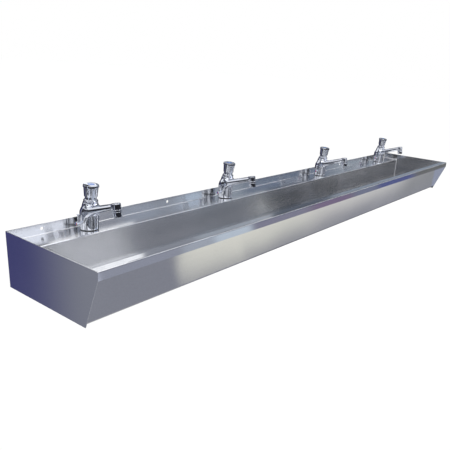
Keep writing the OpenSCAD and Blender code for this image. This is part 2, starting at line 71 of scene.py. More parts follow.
# Node helpers
class Nodes:
    """Adds shader nodes to one tree and links them."""

    def __init__(self, tree):
        self.tree = tree
        tree.nodes.clear()

    def add(self, kind, **settings):
        """Adds a node. in_Name or in_0 is put into that input, and the rest are the node's settings."""
        node = self.tree.nodes.new(kind)
        for key, value in settings.items():
            if key.startswith("in_"):
                name = key[3:].replace("_", " ")
                self.put(node.inputs[int(name)] if name.isdigit() else node.inputs[name], value)
            else:
                setattr(node, key, value)
        return node

    def put(self, socket, value):
        """Links an output to the input, or sets the input to a value."""
        if isinstance(value, bpy.types.NodeSocket):
            self.tree.links.new(value, socket)
        elif value is not None:
            socket.default_value = value

    def math(self, operation, a, b=None, c=None):
        node = self.tree.nodes.new("ShaderNodeMath")
        node.operation = operation
        for socket, value in zip(node.inputs, (a, b, c)):
            self.put(socket, value)
        return node.outputs[0]

    def mean(self, a, b):
        return self.math("MULTIPLY_ADD", a, 0.5, self.math("MULTIPLY", b, 0.5))

    def step(self, value, low, high, to_low=0.0, to_high=1.0):
        """Smooth step from to_low to to_high while value goes from low to high."""
        node = self.tree.nodes.new("ShaderNodeMapRange")
        node.interpolation_type = "SMOOTHSTEP"
        self.put(node.inputs["Value"], value)
        for name, number in (("From Min", low), ("From Max", high), ("To Min", to_low), ("To Max", to_high)):
            self.put(node.inputs[name], number)
        return node.outputs["Result"]

    def band(self, value, low, high, soft):
        """1 between low and high and 0 beyond, with ends that are soft to each side."""
        rising = self.step(value, low - soft, low + soft)
        falling = self.step(value, high - soft, high + soft, 1, 0)
        return self.math("MULTIPLY", rising, falling)

    def mix(self, factor, a, b):
        """Colour a where the factor is 0, colour b where it is 1."""
        node = self.tree.nodes.new("ShaderNodeMix")
        node.data_type = "RGBA"
        self.put(node.inputs[0], factor)
        for socket, value in ((node.inputs[6], a), (node.inputs[7], b)):
            if isinstance(value, tuple):
                value = value + (1,)
            self.put(socket, value)
        return node.outputs[2]

    def noise(self, vector, scale, detail=3.0, roughness=0.5):
        node = self.add("ShaderNodeTexNoise")
        self.put(node.inputs["Vector"], vector)
        node.inputs["Scale"].default_value = scale
        node.inputs["Detail"].default_value = detail
        node.inputs["Roughness"].default_value = roughness
        return node.outputs["Fac"]

    def stretched(self, scale):
        """The object's own coordinates, in metres, times a scale along each axis."""
        coords = self.add("ShaderNodeTexCoord").outputs["Object"]
        mapping = self.add("ShaderNodeMapping")
        self.put(mapping.inputs["Vector"], coords)
        mapping.inputs["Scale"].default_value = scale
        return mapping.outputs["Vector"]


EVEN = (1, 1, 1)
# How deep a grain's bump goes, in metres
RELIEF = 0.0002
# Fine tone changes of a brushed sheet, per metre
MOTTLE = 300.0


def new_material(name):
    """A material with one principled shader."""
    material = bpy.data.materials.new(name)
    material.use_nodes = True
    nodes = Nodes(material.node_tree)
    output = nodes.add("ShaderNodeOutputMaterial")
    shader = nodes.add("ShaderNodeBsdfPrincipled")
    nodes.tree.links.new(shader.outputs[0], output.inputs["Surface"])
    return material, nodes, shader


def add_colour(nodes, shader, factor, colour, tint):
    """Base colour from a little darker than colour to a little lighter, by the factor."""
    dark = tuple(c * (1 - tint) for c in colour)
    light = tuple(min(1, c * (1 + tint)) for c in colour)
    nodes.put(shader.inputs["Base Color"], nodes.mix(factor, dark, light))


def add_relief(nodes, shader, height, strength):
    relief = nodes.add("ShaderNodeBump")
    relief.inputs["Strength"].default_value = strength
    relief.inputs["Distance"].default_value = RELIEF
    nodes.put(relief.inputs["Height"], height)
    nodes.put(shader.inputs["Normal"], relief.outputs[0])


def metal(name, colour, rough, grain, tint=0.06, rough_spread=0.04, bump=0.0, cloud=3.0, brushed=None):
    """Metal with fine grain, and a cloudy change of tone and gloss. A sheet that is brushed blurs
    what it mirrors across the brushing, which is what a tangent round the brushed axis gives."""
    material, nodes, shader = new_material(name)
    fine = nodes.noise(nodes.stretched(grain), 1.0, 4.0, 0.6)
    broad = nodes.noise(nodes.stretched(EVEN), cloud, 2.0)
    tone = nodes.mean(fine, broad)
    gloss = tone
    if brushed:
        tone = nodes.mean(nodes.noise(nodes.stretched(EVEN), MOTTLE, 1.0), tone)
        gloss = broad
        shader.inputs["Anisotropic"].default_value = 1.0
        nodes.put(shader.inputs["Tangent"], nodes.add("ShaderNodeTangent", axis=brushed).outputs[0])
    add_colour(nodes, shader, nodes.step(tone, 0.3, 0.7), colour, tint)
    nodes.put(shader.inputs["Roughness"],
              nodes.step(gloss, 0.25, 0.75, rough - rough_spread, rough + rough_spread))
    shader.inputs["Metallic"].default_value = 1.0
    if bump:
        add_relief(nodes, shader, fine, bump)
    return material


def moulded(name, colour, rough, bump=0.1, coat=0.0):
    """Plastic or rubber with a fine moulded grain."""
    material, nodes, shader = new_material(name)
    fine = nodes.noise(nodes.stretched(EVEN), 400, 4.0)
    add_colour(nodes, shader, fine, colour, 0.05)
    nodes.put(shader.inputs["Roughness"], nodes.step(fine, 0.3, 0.7, rough - 0.05, rough + 0.05))
    shader.inputs["Coat Weight"].default_value = coat
    add_relief(nodes, shader, fine, bump)
    return material


# Mesh helpers
# Points closer than this are one point, in metres
SAME_POINT = 1e-7
SAME_CAD_POINT = 1e-6
# Faces of a CAD node within this angle are one flat face
FLAT = math.radians(0.5)
# Edges sharper than this are rounded by soften
HARD_EDGE = math.radians(40)
# Turns of a line below this angle aren't rounded
STRAIGHT = 1e-4
# Points of a profile closer than this to the axis, in millimetres, are on it
ON_AXIS = 1e-6


def make_object(name, mesh, material, body, replaces=(), smooth=35):
    """A piece that rides on a body. Edges sharper than smooth degrees stay sharp."""
    obj = bpy.data.objects.new(name, mesh)
    bpy.context.scene.collection.objects.link(obj)
    mesh.materials.append(material)
    if smooth:
        mesh.shade_smooth()
        mesh.set_sharp_from_angle(angle=math.radians(smooth))
    if replaces:
        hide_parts(*replaces)
    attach(obj, body)
    return obj


def mesh_from(name, verts, faces):
    """A mesh whose faces all face outwards."""
    mesh = bpy.data.meshes.new(name)
    mesh.from_pydata([tuple(v) for v in verts], [], faces)
    mesh.update()
    bm = bmesh.new()
    bm.from_mesh(mesh)
    bmesh.ops.remove_doubles(bm, verts=bm.verts, dist=SAME_POINT)
    bmesh.ops.recalc_face_normals(bm, faces=bm.faces)
    bm.to_mesh(mesh)
    bm.free()
    return mesh


def lathe(name, profile, matrix=None, segments=72):
    """Closed solid of revolution about Z. The profile is a closed list of (radius, height)."""
    verts, rings = [], []
    for r, z in profile:
        if r <= ON_AXIS:
            rings.append([len(verts)] * segments)
            verts.append(Vector((0, 0, z)))
        else:
            rings.append(list(range(len(verts), len(verts) + segments)))
            for k in range(segments):
                a = 2 * math.pi * k / segments
                verts.append(Vector((r * math.cos(a), r * math.sin(a), z)))
    faces = []
    for i in range(len(profile)):
        low, high = rings[i], rings[(i + 1) % len(profile)]
        for k in range(segments):
            quad = [low[k], low[(k + 1) % segments], high[(k + 1) % segments], high[k]]
            face = [v for j, v in enumerate(quad) if v not in quad[:j]]
            if len(face) > 2:
                faces.append(face)
    matrix = matrix or Matrix.Identity(4)
    return mesh_from(name, [(matrix @ v) * MM for v in verts], faces)


def tube(name, rings):
    """Closed tube through rings of points, which are in metres."""
    around = len(rings[0])
    verts = [point for ring in rings for point in ring]
    faces = []
    for i in range(len(rings) - 1):
        here, there = i * around, (i + 1) * around
        for k in range(around):
            j = (k + 1) % around
            faces.append([here + k, here + j, there + j, there + k])
    faces += [list(range(around)), list(range(len(verts) - around, len(verts)))]
    return mesh_from(name, verts, faces)


def rounded(path, radii, steps=5):
    """Rounds each corner of a closed line of (x, y) with its radius."""
    out = []
    for i, (q, radius) in enumerate(zip(path, radii)):
        q = Vector(q)
        a = (q - Vector(path[i - 1])).normalized()
        b = (Vector(path[(i + 1) % len(path)]) - q).normalized()
        turn = math.atan2(a.x * b.y - a.y * b.x, a.dot(b))
        if radius <= 0 or abs(turn) < STRAIGHT:
            out.append(tuple(q))
            continue
        back = radius * math.tan(abs(turn) / 2)
        side = math.copysign(1, turn)
        centre = q - a * back + Vector((-a.y, a.x)) * radius * side
        start = q - a * back - centre
        for k in range(steps + 1):
            w = turn * k / steps
            out.append((centre.x + start.x * math.cos(w) - start.y * math.sin(w),
                        centre.y + start.x * math.sin(w) + start.y * math.cos(w)))
    return out


def offset_sheet(path, radii, thickness, steps=10):
    """Outline of a folded sheet whose middle line is path, with rounded folds: the side on the left
    of the path first, then back along the right."""
    left, right = [], []
    last = len(path) - 1
    for i in range(last + 1):
        p = Vector(path[i])
        if i in (0, last):
            a = (Vector(path[min(i + 1, last)]) - Vector(path[max(i - 1, 0)])).normalized()
            n = Vector((-a.y, a.x))
            left.append(p + n * thickness / 2)
            right.append(p - n * thickness / 2)
            continue
        a = (p - Vector(path[i - 1])).normalized()
        b = (Vector(path[i + 1]) - p).normalized()
        turn = math.atan2(a.x * b.y - a.y * b.x, a.dot(b))
        side = math.copysign(1, turn)
        radius = radii[i - 1]
        centre = p - a * radius * math.tan(abs(turn) / 2) + Vector((-a.y, a.x)) * radius * side
        for k in range(steps + 1):
            w = turn * k / steps
            n = Vector((-a.y * math.cos(w) - a.x * math.sin(w), a.x * math.cos(w) - a.y * math.sin(w)))
            middle = centre - n * radius * side
            left.append(middle + n * thickness / 2)
            right.append(middle - n * thickness / 2)
    return left + right[::-1]


def extrude_x(name, outline, x0, x1):
    """Prism along X of an outline of (distance from the wall, height)."""
    count = len(outline)
    verts = [Vector((x, -d, z)) * MM for x in (x0, x1) for d, z in outline]
    faces = [[k, (k + 1) % count, count + (k + 1) % count, count + k] for k in range(count)]
    faces += [list(range(count))[::-1], list(range(count, 2 * count))]
    return mesh_from(name, verts, faces)


def drill(radius, length, matrix, segments=64):
    """A cylinder to cut a hole with, along the matrix's Z from its origin."""
    return lathe("drill", [(0, 0), (radius, 0), (radius, length), (0, length)], matrix, segments)


def cut(mesh, cutters):
    """The mesh without the cutters, by exact booleans."""
    obj = bpy.data.objects.new("cutting", mesh)
    bpy.context.scene.collection.objects.link(obj)
    tools = []
    for cutter in cutters:
        tool = bpy.data.objects.new("cutter", cutter)
        bpy.context.scene.collection.objects.link(tool)
        modifier = obj.modifiers.new("cut", "BOOLEAN")
        modifier.operation = "DIFFERENCE"
        modifier.solver = "EXACT"
        modifier.object = tool
        tools.append(tool)
    bpy.context.view_layer.update()
    evaluated = obj.evaluated_get(bpy.context.evaluated_depsgraph_get())
    result = bpy.data.meshes.new_from_object(evaluated)
    for each in tools + [obj]:
        data = each.data
        bpy.data.objects.remove(each)
        bpy.data.meshes.remove(data)
    return result


def joined(name, meshes):
    bm = bmesh.new()
    for mesh in meshes:
        bm.from_mesh(mesh)
    out = bpy.data.meshes.new(name)
    bm.to_mesh(out)
    bm.free()
    for mesh in meshes:
        bpy.data.meshes.remove(mesh)
    return out


def keep_flats(obj):
    """Normals that leave large faces looking flat."""
    weighted = obj.modifiers.new("flats", "WEIGHTED_NORMAL")
    weighted.keep_sharp = True


def soften(obj, width):
    """Rounds the hard edges and keeps the flats flat."""
    bevel = obj.modifiers.new("edges", "BEVEL")
    bevel.width = width * MM
    bevel.segments = 2
    bevel.limit_method = "ANGLE"
    bevel.angle_limit = HARD_EDGE
    bevel.use_clamp_overlap = True
    keep_flats(obj)


def refined(node, material, width):
    """A copy of one of the trough's CAD nodes with its edges rounded, shown in the node's place."""
    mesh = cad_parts[node].data.copy()
    mesh.materials.clear()
    bm = bmesh.new()
    bm.from_mesh(mesh)
    bmesh.ops.remove_doubles(bm, verts=bm.verts, dist=SAME_CAD_POINT)
    bmesh.ops.dissolve_limit(bm, angle_limit=FLAT, verts=bm.verts, edges=bm.edges)
    bmesh.ops.recalc_face_normals(bm, faces=bm.faces)
    bm.to_mesh(mesh)
    bm.free()
    soften(make_object(node + "_piece", mesh, material, "trough", (node,)), width)


def finish_node(node, material):
    """Gives a CAD node that is shown as it is its material."""
    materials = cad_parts[node].data.materials
    materials.clear()
    materials.append(material)


# Camera, fitted to the trough's edges in the photograph. The picture's width, the focal length and
# the optical centre are in pixels.
PICTURE = 450
FOCAL = 520.18
CENTRE_X = 252.75
CENTRE_Y = 245.16
SENSOR = 36
CAMERA_PLACE = Vector((-1853.5, -1263.8, 464.7))
CAMERA_RIGHT = Vector((0.6033, -0.7945, 0.0694))
CAMERA_DOWN = Vector((-0.2216, -0.2505, -0.9424))


def set_camera():
    """The photograph's view."""
    right = CAMERA_RIGHT.normalized()
    ahead = right.cross(CAMERA_DOWN).normalized()
    down = ahead.cross(right).normalized()
    data = bpy.data.cameras.new("camera")
    data.sensor_fit = "HORIZONTAL"
    data.sensor_width = SENSOR
    data.lens = FOCAL / PICTURE * SENSOR
    data.shift_x = (PICTURE / 2 - CENTRE_X) / PICTURE
    data.shift_y = (CENTRE_Y - PICTURE / 2) / PICTURE
    data.clip_start = 0.05
    data.clip_end = 60
    camera = bpy.data.objects.new("camera", data)
    bpy.context.scene.collection.objects.link(camera)
    turn = Matrix((right, -down, -ahead)).transposed().to_4x4()
    camera.matrix_world = Matrix.Translation(CAMERA_PLACE * MM) @ turn
    bpy.context.scene.camera = camera


# World: what the metal mirrors. Plain light and dark cards stand round the trough, later ones over
# earlier ones, and each is placed by direction alone. They come in groups at one height:
# (height from, height to, softness of those edges, cards), and each card is
# (place from, place to, softness of its ends, tone).
BLACK = (0.02, 0.02, 0.025)
DARK = (0.03, 0.03, 0.04)
CREAM = (0.87, 0.86, 0.78)
# Behind the cards the tone changes with the elevation in degrees: (from, to, the tone that takes over)
STRAIGHT_DOWN = (0.5, 0.5, 0.52)
SURROUNDINGS = [
    (-60, -30, (0.27, 0.275, 0.31)),
    (-28, -10, (0.20, 0.21, 0.25)),
    (-6, 14, (0.3, 0.32, 0.36)),
    (30, 45, (0.6, 0.6, 0.62)),
]
# Beside the trough and behind it: height is the elevation, and place is the azimuth from X towards
# the wall, both in degrees. The left end panel mirrors the cards about 120.
SIDE_CARDS = [
    (-40, 4, 3, [(-12, 16, 1.5, (0.05, 0.05, 0.06))]),
    (-40, 4, 2, [(16, 60, 3, (0.1, 0.1, 0.13))]),
    (-70, 8, 3, [
        (60, 113, 0.8, (0.02, 0.02, 0.05)),
        (113, 124, 0.8, (0.06, 0.062, 0.187)),
        (122, 143, 3.8, (0.25, 0.262, 0.31)),
        (143, 181, 3, (0.05, 0.05, 0.06)),
    ]),
    (-30, 60, 3, [(132, 143, 2, BLACK)]),
    (8, 60, 3, [(148, 164, 2, (0.9, 0.9, 0.92))]),
]
# The trough's surfaces all run along X, so the long cards' height is the direction's angle round X in
# degrees: -90 is down, 0 level towards the wall, 90 up and 180 level to the front. Their place is the
# direction's share along X, from -1 to 1.
LONG_CARDS = [
    # In front, on the camera's side: a pale floor, dark round the horizon, bright above with dark gaps
    (216, 262, 3, [
        (-1.1, 0.42, 0.04, (0.9, 0.9, 0.9)),
        (-1.1, -0.4, 0.03, (0.46, 0.5, 0.64)),
    ]),
    (174, 216, 2, [(-0.97, 0.42, 0.05, BLACK)]),
    (124, 174, 2, [
        (-1.1, 0.42, 0.03, (1.3, 1.3, 1.32)),
        (-0.36, -0.24, 0.02, DARK),
        (-1.1, -0.88, 0.01, DARK),
        (-0.02, 0.2, 0.02, DARK),
    ]),
    (112, 124, 2, [(-1.1, 0.42, 0.03, DARK)]),
    # Front right, above the horizon: what the upstand shows by way of the ledge
    (138, 176, 4, [
        (0.42, 0.53, 0.004, (1.25, 1.3, 1.45)),
        (0.53, 0.605, 0.004, (0.37, 0.39, 0.46)),
        (0.605, 0.66, 0.01, (0.42, 0.47, 0.57)),
        (0.66, 0.692, 0.01, (0.37, 0.41, 0.49)),
        (0.692, 0.725, 0.005, (0.66, 0.78, 0.95)),
        (0.725, 0.775, 0.006, (0.4, 0.46, 0.54)),
        (0.775, 0.87, 0.01, (0.2, 0.25, 0.35)),
        (0.87, 1.1, 0.01, (0.4, 0.46, 0.54)),
    ]),
    # Front right, at the horizon: dark for the buttons' rims
    (177, 196, 2, [(0.42, 1.1, 0.01, BLACK)]),
    # Front right, below the horizon: what the lip shows
    (196, 214, 2, [
        (0.42, 0.552, 0.01, (0.62, 0.66, 0.8)),
        (0.552, 0.675, 0.01, (0.33, 0.35, 0.43)),
        (0.675, 0.72, 0.01, (0.43, 0.47, 0.55)),
        (0.72, 0.775, 0.01, (0.58, 0.66, 0.77)),
        (0.775, 0.842, 0.006, (0.25, 0.25, 0.34)),
        (0.842, 0.885, 0.01, (0.22, 0.17, 0.28)),
        (0.885, 0.905, 0.005, (0.2, 0.22, 0.32)),
        (0.905, 0.932, 0.004, (0.1, 0.12, 0.3)),
        (0.932, 1.1, 0.004, (0.16, 0.165, 0.17)),
    ]),
    # The floor at the front right is grey, but for the leaning cards
    (214, 262, 1, [(0.42, 1.1, 0.01, (0.27, 0.28, 0.33))]),
    # Above the wall: what the rim and the ledge show, and higher up what the bowl shows
    (10, 66, 3, [(-0.75, -0.1, 0.03, (0.95, 0.95, 0.97))]),
    (30, 110, 3, [(-1.1, -0.8, 0.01, (0.12, 0.13, 0.16))]),
    (14, 62, 2, [(-0.1, 0.495, 0.01, DARK)]),
    (10, 40, 2, [(0.495, 0.622, 0.004, (1.16, 1.18, 1.23))]),
    (38, 80, 2, [(0.495, 0.598, 0.004, (0.85, 0.87, 0.93))]),
    (10, 37, 2, [
        (0.622, 0.70, 0.004, (0.28, 0.3, 0.35)),
        (0.70, 0.80, 0.01, (0.38, 0.42, 0.48)),
        (0.80, 0.865, 0.004, (0.12, 0.14, 0.18)),
        (0.865, 1.1, 0.01, (0.28, 0.33, 0.4)),
    ]),
    (44, 110, 2, [(0.598, 0.70, 0.004, (0.27, 0.28, 0.33))]),
    (37, 46, 2, [(0.622, 0.70, 0.004, (0.27, 0.28, 0.33))]),
    (37, 110, 2, [
        (0.70, 0.80, 0.02, (0.2, 0.21, 0.25)),
        (0.80, 1.1, 0.003, BLACK),
    ]),
    (37, 80, 3, [(0.783, 0.797, 0.002, (0.8, 0.8, 0.74))]),
    # Strip lights over the trough: the folds of the sheet catch the one in front
    (80, 100, 2, [(-1.1, 0.598, 0.01, (1.8, 1.8, 1.8))]),
    (114, 130, 3, [(0.42, 1.1, 0.01, (2.2, 2.2, 2.3))]),
]
# The warm pale stretch of floor that the front wall shows. It is seen at a slant, so here the place is
# the share plus LEAN for each degree of the angle round X.
LEAN = 0.004
LEANING_CARDS = [
    (215, 234.5, 1.8, [(1.5915, 1.69, 0.0015, CREAM)]),
    (215, 234.0, 1.8, [(1.67, 1.73, 0.02, CREAM)]),
    (215, 233.2, 1.8, [(1.71, 1.78, 0.02, CREAM)]),
    (215, 232.7, 1.7, [(1.76, 1.82, 0.02, (0.8, 0.78, 0.75))]),
    (215, 232.4, 1.6, [(1.80, 1.85, 0.02, (0.76, 0.75, 0.73))]),
    (215, 235, 1.2, [(1.85, 1.96, 0.01, (0.29, 0.30, 0.32))]),
]


def with_cards(n, tone, height, place, groups):
    """The tone with the groups' cards laid over it."""
    for low, high, soft_edges, cards in groups:
        upright = n.band(height, low, high, soft_edges)
        for start, end, soft_ends, colour in cards:
            cover = n.math("MULTIPLY", n.band(place, start, end, soft_ends), upright)
            tone = n.mix(cover, tone, colour)
    return tone


def mirrored_tone(n):
    """Colour of the surroundings by the direction they are seen in."""
    direction = n.add("ShaderNodeTexCoord").outputs["Generated"]
    parts = n.add("ShaderNodeSeparateXYZ", in_0=direction)
    x, y, z = (parts.outputs[k] for k in range(3))
    degrees = 180 / math.pi
    azimuth = n.math("MULTIPLY", n.math("ARCTAN2", y, x), degrees)
    elevation = n.math("MULTIPLY", n.math("ARCSINE", z), degrees)
    # Where the angle round X jumps by a whole turn is straight down
    from_up = n.math("ARCTAN2", n.math("MULTIPLY", y, -1), z)
    turn = n.math("SUBTRACT", n.math("MULTIPLY", from_up, degrees), -90)
    leaning = n.math("MULTIPLY_ADD", turn, LEAN, x)

    tone = STRAIGHT_DOWN
    for low, high, colour in SURROUNDINGS:
        tone = n.mix(n.step(elevation, low, high), tone, colour)
    tone = with_cards(n, tone, elevation, azimuth, SIDE_CARDS)
    tone = with_cards(n, tone, turn, x, LONG_CARDS)
    return with_cards(n, tone, turn, leaning, LEANING_CARDS)


def set_world():
    """White for the camera, light and dark cards for the metal."""
    world = bpy.data.worlds.new("studio")
    bpy.context.scene.world = world
    world.use_nodes = True
    n = Nodes(world.node_tree)
    output = n.add("ShaderNodeOutputWorld")
    mirrored = n.add("ShaderNodeBackground", in_Color=mirrored_tone(n), in_Strength=1.0)
    white = n.add("ShaderNodeBackground", in_Color=(1, 1, 1, 1), in_Strength=1.0)
    paths = n.add("ShaderNodeLightPath")
    blend = n.add("ShaderNodeMixShader", in_0=paths.outputs["Is Camera Ray"],
                  in_1=mirrored.outputs[0], in_2=white.outputs[0])
    n.tree.links.new(blend.outputs[0], output.inputs["Surface"])


# Lamps and floor, in metres and watts. The metal mirrors neither.
KEY_PLACE, KEY_AIM, KEY_SIZE, KEY_POWER = (-1.2, -2.6, 3.0), (0, -0.1, 0), (3.0, 2.0), 90
FILL_PLACE, FILL_AIM, FILL_SIZE, FILL_POWER = (2.8, -2.0, 2.2), (0.2, -0.1, 0), (2.0, 2.0), 35
FLOOR_REACH = 60
FLOOR_HEIGHT = -0.85


def area_lamp(name, place, aim, size, power):
    data = bpy.data.lights.new(name, "AREA")
    data.shape = "RECTANGLE"
    data.size, data.size_y = size
    data.energy = power
    lamp = bpy.data.objects.new(name, data)
    bpy.context.scene.collection.objects.link(lamp)
    lamp.location = place
    lamp.rotation_euler = (Vector(aim) - Vector(place)).to_track_quat("-Z", "Y").to_euler()
    lamp.visible_glossy = False


def floor_material():
    """Pale, and brightened for the camera. Seen from below it is clear, so it doesn't hide the trough."""
    material = bpy.data.materials.new("pale_floor")
    material.use_nodes = True
    n = Nodes(material.node_tree)
    output = n.add("ShaderNodeOutputMaterial")
    plain = n.add("ShaderNodeBsdfDiffuse", in_Color=(0.92, 0.92, 0.92, 1))
    glow = n.add("ShaderNodeEmission", in_Color=(1, 1, 1, 1), in_Strength=1.04)
    paths = n.add("ShaderNodeLightPath")
    share = n.math("MULTIPLY", paths.outputs["Is Camera Ray"], 0.9)
    above = n.add("ShaderNodeMixShader", in_0=share, in_1=plain.outputs[0], in_2=glow.outputs[0])
    clear = n.add("ShaderNodeBsdfTransparent")
    behind = n.add("ShaderNodeNewGeometry").outputs["Backfacing"]
    whole = n.add("ShaderNodeMixShader", in_0=behind, in_1=above.outputs[0], in_2=clear.outputs[0])
    n.tree.links.new(whole.outputs[0], output.inputs["Surface"])
    return material


def set_floor():
    corners = ((-1, -1), (1, -1), (1, 1), (-1, 1))
    verts = [Vector((x * FLOOR_REACH, y * FLOOR_REACH, FLOOR_HEIGHT)) for x, y in corners]
    mesh = mesh_from("floor", verts, [[0, 1, 2, 3]])
    mesh.materials.append(floor_material())
    floor = bpy.data.objects.new("floor", mesh)
    bpy.context.scene.collection.objects.link(floor)
    floor.visible_glossy = False


set_camera()
set_world()
area_lamp("key", KEY_PLACE, KEY_AIM, KEY_SIZE, KEY_POWER)
area_lamp("fill", FILL_PLACE, FILL_AIM, FILL_SIZE, FILL_POWER)
set_floor()

# Materials. A grain is a noise scale along each axis. The sheet's is stretched along the brushing,
# which runs along X on the folded sheet and along Y on the end panels.
SHEET_COLOUR = (0.75, 0.755, 0.765)
ALONG_X = (10, 400, 400)
ALONG_Y = (400, 10, 400)


def brushed_steel(name, rough, grain, axis):
    return metal(name, SHEET_COLOUR, rough, grain, tint=0.04, rough_spread=0.01, cloud=4.0, brushed=axis)


STEEL = brushed_steel("satin_steel", 0.15, ALONG_X, "X")
LEDGE_STEEL = brushed_steel("satin_steel_ledge", 0.13, ALONG_X, "X")
FRONT_STEEL = brushed_steel("satin_steel_front", 0.08, ALONG_X, "X")
PANEL_STEEL = brushed_steel("satin_steel_panel", 0.10, ALONG_Y, "Y")
BRIGHT = metal("bright_steel", (0.76, 0.76, 0.78), 0.18, (300, 300, 300), tint=0.03, bump=0.02)
CHROME = metal("chrome", (0.77, 0.80, 0.87), 0.03, (120, 120, 120), tint=0.01, rough_spread=0.01,
               bump=0.003, cloud=20.0)
BRASS = metal("brass", (0.78, 0.57, 0.25), 0.25, (200, 200, 900), tint=0.05, bump=0.04)
COPPER = metal("copper", (0.86, 0.50, 0.34), 0.22, (300, 300, 30), bump=0.03)
SPRING = metal("spring_wire", (0.55, 0.55, 0.57), 0.28, (300, 300, 300), tint=0.05, bump=0.03)
RUBBER = moulded("rubber", (0.035, 0.035, 0.037), 0.6, bump=0.2)
VALVE = moulded("valve_plastic", (0.72, 0.67, 0.52), 0.4)
WHITE = moulded("white_plastic", (0.85, 0.85, 0.84), 0.35)
BLUE = moulded("blue_plastic", (0.03, 0.12, 0.42), 0.2, bump=0.02, coat=0.5)


def hot_cold():
    """Disc on the lever: half red, half blue."""
    material, nodes, shader = new_material("hot_cold_disc")
    coords = nodes.add("ShaderNodeTexCoord").outputs["Object"]
    parts = nodes.add("ShaderNodeSeparateXYZ", in_0=coords)
    edge = 0.1 * MM
    side = nodes.step(parts.outputs[1], TAP_Y * MM - edge, TAP_Y * MM + edge)
    grain = nodes.noise(nodes.stretched(EVEN), 900)
    blue = nodes.mix(grain, (0.03, 0.11, 0.40), (0.04, 0.14, 0.46))
    red = nodes.mix(grain, (0.42, 0.05, 0.05), (0.50, 0.07, 0.06))
    nodes.put(shader.inputs["Base Color"], nodes.mix(side, red, blue))
    shader.inputs["Roughness"].default_value = 0.25
    shader.inputs["Coat Weight"].default_value = 0.5
    return material


HOT_COLD = hot_cold()

# Trough. The sheet's middle line, as (distance from the wall, height), from the upstand's top edge to
# the lip's lower edge, and the radius of each fold.
FOLD_R = 2.5
LEDGE_DEPTH = 85
REAR_BEND_R = 38
FRONT_BEND_R = 10
FRONT_FOOT = 323
FRONT_TOP = 354
PAN_PATH = [(HALF, TOP_Z), (HALF, LEDGE_Z - HALF), (LEDGE_DEPTH - HALF, LEDGE_Z - HALF),
            (LEDGE_DEPTH - HALF, FLOOR_Z + HALF), (FRONT_FOOT, FLOOR_Z + HALF), (FRONT_TOP, TOP_Z - HALF),
            (TROUGH_DEPTH - HALF, TOP_Z - HALF), (TROUGH_DEPTH - HALF, TOP_Z - LIP_H)]
PAN_RADII = [FOLD_R, FOLD_R, REAR_BEND_R, FRONT_BEND_R, FOLD_R, FOLD_R]
WALL_HOLES_X = (-1098, -625, 625, 1098)
WALL_HOLE_R = 5
TAP_HOLE_R = 17.5
# How far a drill goes, enough for the sheet
DRILLED = 6
# The dish round the waste: where its flat bottom and its slope begin and end, and its depth
WASTE_Y = -205
DISH_HOLE_R = 25
DISH_FLAT_R = 46
DISH_R = 54
DISH_DEPTH = 5.5
# The smooth front is what lies farther than this from the wall and faces the front
FRONT_FROM = 320
# A face faces a way when its normal points there by this much at least
FACING = 0.2
# Edges of the sheet that are sharper than this, in degrees, aren't shaded smooth
SHARP_FOLD = 28


def pan_cutters():
    """Holes for the wall screws, the taps and the dish. Each drill starts behind or below the sheet
    and ends beyond it."""
    along_y = Matrix.Rotation(math.radians(90), 4, "X")
    cutters = []
    for x in WALL_HOLES_X:
        cutters.append(drill(WALL_HOLE_R, DRILLED, Matrix.Translation((x, DRILLED / 2, 0)) @ along_y))
    for n in TAPS:
        cutters.append(drill(TAP_HOLE_R, DRILLED, Matrix.Translation((TAP_X[n], TAP_Y, LEDGE_Z - 4))))
    cutters.append(drill(DISH_R, DRILLED + 2, Matrix.Translation((0, WASTE_Y, FLOOR_Z - 3)), 96))
    return cutters


def dish_mesh():
    """The pressed dish round the waste, up to the edge of its hole in the floor."""
    bottom = FLOOR_Z - DISH_DEPTH + HALF
    top = FLOOR_Z + HALF
    middle = [(DISH_HOLE_R, bottom), (DISH_FLAT_R, bottom), (DISH_R, top), (DISH_R + 5, top)]
    outline = offset_sheet(middle, [FOLD_R, FOLD_R], SHEET, 5)
    return lathe("dish", [(min(r, DISH_R), z) for r, z in outline], Matrix.Translation((0, WASTE_Y, 0)), 96)


def finish_zones(pan):
    """The bowl is rougher than the ledge, the upstand and the rim, and the front is the smoothest."""
    pan.data.materials.append(LEDGE_STEEL)
    pan.data.materials.append(FRONT_STEEL)
    for face in pan.data.polygons:
        if face.center.y < -FRONT_FROM * MM and face.normal.y < -FACING:
            face.material_index = 2
        elif face.center.z > (LEDGE_Z - 2) * MM and face.normal.z > -FACING:
            face.material_index = 1


def make_pan():
    half_length = TROUGH_LENGTH / 2 - SHEET
    sheet = extrude_x("pan", offset_sheet(PAN_PATH, PAN_RADII, SHEET), -half_length, half_length)
    sheet = cut(sheet, pan_cutters())
    mesh = joined("pan", [sheet, dish_mesh()])
    pan = make_object("pan", mesh, STEEL, "trough", ("trough_pan",), SHARP_FOLD)
    keep_flats(pan)
    finish_zones(pan)


def make_panel(side, x0):
    outline = rounded([(0, BOTTOM_Z), (PANEL_FOOT, BOTTOM_Z), (TROUGH_DEPTH, TOP_Z - LIP_H),
                       (TROUGH_DEPTH, TOP_Z), (0, TOP_Z)], [0, 1.5, 3, 4, 0], 6)
    mesh = extrude_x(f"{side}_panel", outline, x0, x0 + SHEET)
    panel = make_object(f"{side}_panel", mesh, PANEL_STEEL, "trough",
                        (f"{side}_end_panel",), SHARP_FOLD)
    soften(panel, 0.3)


# Fillet weld between the sheet and an end panel: its size, how far it goes into the sheet, and the
# steps of its hollow
WELD = 3.0
WELD_ROOT = 0.3
WELD_STEPS = 5


